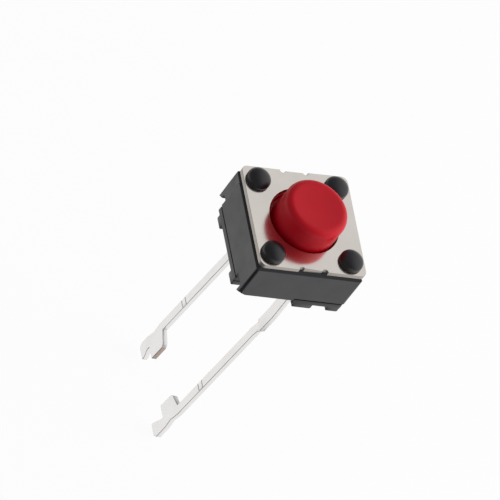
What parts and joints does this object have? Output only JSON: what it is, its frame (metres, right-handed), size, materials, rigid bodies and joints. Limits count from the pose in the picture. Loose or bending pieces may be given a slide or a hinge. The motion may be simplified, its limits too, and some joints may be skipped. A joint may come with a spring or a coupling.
{
  "type": "tactile push button switch",
  "caption": "Square board-mounted momentary switch with a round push button, a riveted metal cover and long leads with shaped ends.",
  "frame": {"origin": "centre of the square that the housing covers on the circuit board, at the height of the board's top face, which the feet stand on", "axes": "+Z away from the board, along the button's travel outwards; +Y from the front lead to the back lead; +X to the right as seen from the front"},
  "size_m": [0.006, 0.006, 0.0178],
  "materials": {
    "base_plastic": "dark grey moulded plastic, matte",
    "cover_steel": "plain satin sheet",
    "button_plastic": "red, matte",
    "spring_steel": "bright spring sheet",
    "tinned_metal": "tinned sheet, satin"
  },
  "bodies": {
    "housing": {"base": "base_plastic", "cover_plate": "cover_steel", "contact_dome": "spring_steel", "outer_terminal": "tinned_metal", "centre_terminal": "tinned_metal"},
    "button": {"button": "button_plastic"}
  },
  "joints": [
    {"name": "button_travel", "type": "slide", "parent": "housing", "child": "button", "axis": [0, 0, -1], "range_m": [0, 0.00025], "stiffness_N_per_m": 5000, "springref_m": -0.00005, "deforming": ["contact_dome"]}
  ]
}
